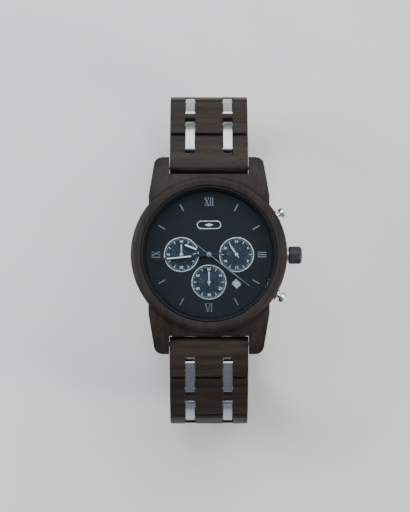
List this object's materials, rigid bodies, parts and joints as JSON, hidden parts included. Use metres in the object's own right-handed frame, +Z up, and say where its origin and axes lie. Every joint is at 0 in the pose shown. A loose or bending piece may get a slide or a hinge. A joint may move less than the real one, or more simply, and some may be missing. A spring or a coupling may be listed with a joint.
{
  "type": "chronograph wristwatch",
  "caption": "Analogue chronograph wristwatch with a dark wooden case, a bracelet of wooden links joined by steel bars, a folding clasp, a crown and pushers that work",
  "frame": {"origin": "on the flat of the clasp cover that the closed bracelet stands on, straight under the middle of the dial", "axes": "+X towards the crown at 3 o'clock, +Y towards 12 o'clock, +Z up out through the crystal"},
  "size_m": [0.0494, 0.0976, 0.0517],
  "materials": {
    "link_wood": "dark ebony-like wood, satin oiled",
    "case_wood": "dark ebony-like wood, satin oiled",
    "bezel_wood": "dark ebony-like wood, turned and oiled",
    "polished_steel": "polished stainless steel",
    "brushed_steel": "brushed stainless steel",
    "clasp_steel": "brushed stainless steel with polished edges",
    "pin_steel": "drawn stainless steel",
    "pusher_steel": "polished stainless steel",
    "screw_steel": "turned steel",
    "cell_steel": "plated steel",
    "black_steel": "black-plated knurled steel",
    "bright_metal": "polished metal appliques",
    "marker_grey": "dark polished metal",
    "hand_black": "black lacquered brass with bright inlays",
    "hand_silver": "polished metal",
    "glass": "clear mineral glass",
    "rubber": "black nitrile",
    "flange_black": "matt black",
    "dial_black": "matt black lacquer with blue-grey small dials",
    "date_white": "white printed disc",
    "holder_plastic": "moulded acetal",
    "brass_plate": "plated brass"
  },
  "bodies": {
    "watch_head": {"case_middle": "case_wood", "bezel_ring": "bezel_wood", "crystal": "glass", "crystal_gasket": "rubber", "inner_flange": "flange_black", "dial_plate": "dial_black", "hour_markers": "marker_grey", "dial_emblem": "bright_metal", "eye_rims": "bright_metal", "movement_holder": "holder_plastic", "main_plate": "brass_plate", "battery_cell": "cell_steel", "case_back": "brushed_steel", "back_gasket": "rubber", "back_screws": "screw_steel", "spring_bars": "pin_steel", "crown_tube": "pin_steel", "pusher_tubes": "pusher_steel"},
    "minute_hand": {"minute_hand": "hand_black"},
    "hour_hand": {"hour_hand": "hand_black"},
    "day_hand": {"day_hand": "hand_silver"},
    "date_disc": {"date_disc": "date_white"},
    "chrono_hand": {"chrono_hand": "hand_black"},
    "chrono_minutes_hand": {"chrono_minutes_hand": "hand_silver"},
    "small_seconds_hand": {"small_seconds_hand": "hand_silver"},
    "winding_stem": {"winding_stem": "pin_steel"},
    "crown": {"crown": "black_steel"},
    "pusher_2": {"pusher_2": "pusher_steel"},
    "pusher_4": {"pusher_4": "pusher_steel"},
    "link12_1": {"link12_1": "link_wood"},
    "bars12_1": {"bars12_1": "polished_steel"},
    "link12_2": {"link12_2": "link_wood"},
    "bars12_2": {"bars12_2": "polished_steel"},
    "link12_3": {"link12_3": "link_wood"},
    "bars12_3": {"bars12_3": "polished_steel"},
    "link12_4": {"link12_4": "link_wood"},
    "bars12_4": {"bars12_4": "polished_steel"},
    "link12_5": {"link12_5": "link_wood"},
    "bars12_5": {"bars12_5": "polished_steel"},
    "link12_6": {"link12_6": "link_wood", "clasp_loose_pin": "pin_steel"},
    "link6_1": {"link6_1": "link_wood"},
    "bars6_1": {"bars6_1": "polished_steel"},
    "link6_2": {"link6_2": "link_wood"},
    "bars6_2": {"bars6_2": "polished_steel"},
    "link6_3": {"link6_3": "link_wood"},
    "bars6_3": {"bars6_3": "polished_steel"},
    "link6_4": {"link6_4": "link_wood"},
    "bars6_4": {"bars6_4": "polished_steel"},
    "link6_5": {"link6_5": "link_wood"},
    "bars6_5": {"bars6_5": "polished_steel"},
    "link6_6": {"link6_6": "link_wood"},
    "clasp_inner_blade": {"clasp_inner_blade": "brushed_steel", "clasp_end_pin": "pin_steel", "clasp_fold_pin": "pin_steel"},
    "clasp_middle_blade": {"clasp_middle_blade": "brushed_steel"},
    "clasp_cover": {"clasp_cover": "clasp_steel", "clasp_cover_pin": "pin_steel"},
    "clasp_button_left": {"clasp_button_left": "pusher_steel"},
    "clasp_button_right": {"clasp_button_right": "pusher_steel"}
  },
  "joints": [
    {"name": "minute_hand_turn", "type": "hinge", "parent": "watch_head", "child": "minute_hand", "pos_m": [0, 0, 0.04779], "axis": [0, 0, -1], "continuous": true},
    {"name": "hour_hand_turn", "type": "hinge", "parent": "watch_head", "child": "hour_hand", "pos_m": [0, 0, 0.04779], "axis": [0, 0, -1], "continuous": true},
    {"name": "day_hand_turn", "type": "hinge", "parent": "watch_head", "child": "day_hand", "pos_m": [0.00795, 0, 0.04779], "axis": [0, 0, -1], "continuous": true},
    {"name": "date_disc_turn", "type": "hinge", "parent": "watch_head", "child": "date_disc", "pos_m": [0, 0, 0.04779], "axis": [0, 0, -1], "continuous": true},
    {"name": "chrono_hand_turn", "type": "hinge", "parent": "watch_head", "child": "chrono_hand", "pos_m": [0, 0, 0.04779], "axis": [0, 0, -1], "continuous": true},
    {"name": "chrono_minutes_hand_turn", "type": "hinge", "parent": "watch_head", "child": "chrono_minutes_hand", "pos_m": [-0.00795, 0, 0.04779], "axis": [0, 0, -1], "continuous": true},
    {"name": "small_seconds_hand_turn", "type": "hinge", "parent": "watch_head", "child": "small_seconds_hand", "pos_m": [0, -0.00795, 0.04779], "axis": [0, 0, -1], "continuous": true},
    {"name": "crown_pull", "type": "slide", "parent": "watch_head", "child": "winding_stem", "axis": [1, 0, 0], "range_m": [0, 0.0015]},
    {"name": "crown_turn", "type": "hinge", "parent": "winding_stem", "child": "crown", "pos_m": [0.025, 0, 0.04509], "axis": [1, 0, 0], "continuous": true},
    {"name": "pusher_2_press", "type": "slide", "parent": "watch_head", "child": "pusher_2", "axis": [-0.866, -0.5, 0], "range_m": [0, 0.0008], "stiffness_N_per_m": 1500},
    {"name": "pusher_4_press", "type": "slide", "parent": "watch_head", "child": "pusher_4", "axis": [-0.866, 0.5, 0], "range_m": [0, 0.0008], "stiffness_N_per_m": 1500},
    {"name": "lug12_hinge", "type": "hinge", "parent": "watch_head", "child": "link12_1", "pos_m": [0, 0.0256, 0.04419], "axis": [1, 0, 0], "range_deg": [0, 12]},
    {"name": "bars12_1_hinge", "type": "hinge", "parent": "link12_1", "child": "bars12_1", "pos_m": [0, 0.03118, 0.04301], "axis": [1, 0, 0], "range_deg": [0, 11]},
    {"name": "link12_2_hinge", "type": "hinge", "parent": "bars12_1", "child": "link12_2", "pos_m": [0, 0.03854, 0.03988], "axis": [1, 0, 0], "range_deg": [0, 11]},
    {"name": "bars12_2_hinge", "type": "hinge", "parent": "link12_2", "child": "bars12_2", "pos_m": [0, 0.04227, 0.03736], "axis": [1, 0, 0], "range_deg": [0, 24]},
    {"name": "link12_3_hinge", "type": "hinge", "parent": "bars12_2", "child": "link12_3", "pos_m": [0, 0.04651, 0.03058], "axis": [1, 0, 0], "range_deg": [0, 24]},
    {"name": "bars12_3_hinge", "type": "hinge", "parent": "link12_3", "child": "bars12_3", "pos_m": [0, 0.04714, 0.02612], "axis": [1, 0, 0], "range_deg": [0, 13]},
    {"name": "link12_4_hinge", "type": "hinge", "parent": "bars12_3", "child": "link12_4", "pos_m": [0, 0.04644, 0.01815], "axis": [1, 0, 0], "range_deg": [0, 13]},
    {"name": "bars12_4_hinge", "type": "hinge", "parent": "link12_4", "child": "bars12_4", "pos_m": [0, 0.04505, 0.01387], "axis": [1, 0, 0], "range_deg": [0, 20]},
    {"name": "link12_5_hinge", "type": "hinge", "parent": "bars12_4", "child": "link12_5", "pos_m": [0, 0.04012, 0.00757], "axis": [1, 0, 0], "range_deg": [0, 20]},
    {"name": "bars12_5_hinge", "type": "hinge", "parent": "link12_5", "child": "bars12_5", "pos_m": [0, 0.03631, 0.00519], "axis": [1, 0, 0], "range_deg": [0, 14]},
    {"name": "link12_6_hinge", "type": "hinge", "parent": "bars12_5", "child": "link12_6", "pos_m": [0, 0.0287, 0.00271], "axis": [1, 0, 0], "range_deg": [0, 14]},
    {"name": "lug6_hinge", "type": "hinge", "parent": "watch_head", "child": "link6_1", "pos_m": [0, -0.0256, 0.04419], "axis": [-1, 0, 0], "range_deg": [0, 12]},
    {"name": "bars6_1_hinge", "type": "hinge", "parent": "link6_1", "child": "bars6_1", "pos_m": [0, -0.03118, 0.04301], "axis": [-1, 0, 0], "range_deg": [0, 11]},
    {"name": "link6_2_hinge", "type": "hinge", "parent": "bars6_1", "child": "link6_2", "pos_m": [0, -0.03854, 0.03988], "axis": [-1, 0, 0], "range_deg": [0, 11]},
    {"name": "bars6_2_hinge", "type": "hinge", "parent": "link6_2", "child": "bars6_2", "pos_m": [0, -0.04227, 0.03736], "axis": [-1, 0, 0], "range_deg": [0, 24]},
    {"name": "link6_3_hinge", "type": "hinge", "parent": "bars6_2", "child": "link6_3", "pos_m": [0, -0.04651, 0.03058], "axis": [-1, 0, 0], "range_deg": [0, 24]},
    {"name": "bars6_3_hinge", "type": "hinge", "parent": "link6_3", "child": "bars6_3", "pos_m": [0, -0.04714, 0.02612], "axis": [-1, 0, 0], "range_deg": [0, 13]},
    {"name": "link6_4_hinge", "type": "hinge", "parent": "bars6_3", "child": "link6_4", "pos_m": [0, -0.04644, 0.01815], "axis": [-1, 0, 0], "range_deg": [0, 13]},
    {"name": "bars6_4_hinge", "type": "hinge", "parent": "link6_4", "child": "bars6_4", "pos_m": [0, -0.04505, 0.01387], "axis": [-1, 0, 0], "range_deg": [0, 20]},
    {"name": "link6_5_hinge", "type": "hinge", "parent": "bars6_4", "child": "link6_5", "pos_m": [0, -0.04012, 0.00757], "axis": [-1, 0, 0], "range_deg": [0, 20]},
    {"name": "bars6_5_hinge", "type": "hinge", "parent": "link6_5", "child": "bars6_5", "pos_m": [0, -0.03631, 0.00519], "axis": [-1, 0, 0], "range_deg": [0, 14]},
    {"name": "link6_6_hinge", "type": "hinge", "parent": "bars6_5", "child": "link6_6", "pos_m": [0, -0.0287, 0.00271], "axis": [-1, 0, 0], "range_deg": [0, 14]},
    {"name": "clasp_end_hinge", "type": "hinge", "parent": "link6_6", "child": "clasp_inner_blade", "pos_m": [0, -0.02421, 0.0024], "axis": [-1, 0, 0], "range_deg": [0, 4]},
    {"name": "clasp_fold", "type": "hinge", "parent": "clasp_inner_blade", "child": "clasp_middle_blade", "pos_m": [0, 0.0174, 0.0026], "axis": [1, 0, 0], "range_deg": [0, 120]},
    {"name": "clasp_cover_hinge", "type": "hinge", "parent": "clasp_middle_blade", "child": "clasp_cover", "pos_m": [0, -0.0174, 0.0017], "axis": [1, 0, 0], "range_deg": [-120, 0]},
    {"name": "clasp_button_left_press", "type": "slide", "parent": "clasp_cover", "child": "clasp_button_left", "axis": [1, 0, 0], "range_m": [0, 0.0008], "stiffness_N_per_m": 1500},
    {"name": "clasp_button_right_press", "type": "slide", "parent": "clasp_cover", "child": "clasp_button_right", "axis": [-1, 0, 0], "range_m": [0, 0.0008], "stiffness_N_per_m": 1500}
  ],
  "couplings": [
    {"joint": "hour_hand_turn", "follows": "minute_hand_turn", "ratio": 0.083333},
    {"joint": "day_hand_turn", "follows": "minute_hand_turn", "ratio": 0.041667},
    {"joint": "date_disc_turn", "follows": "minute_hand_turn", "ratio": 0.0013441},
    {"joint": "chrono_minutes_hand_turn", "follows": "chrono_hand_turn", "ratio": 0.016667},
    {"joint": "clasp_cover_hinge", "follows": "clasp_fold", "ratio": -1}
  ]
}
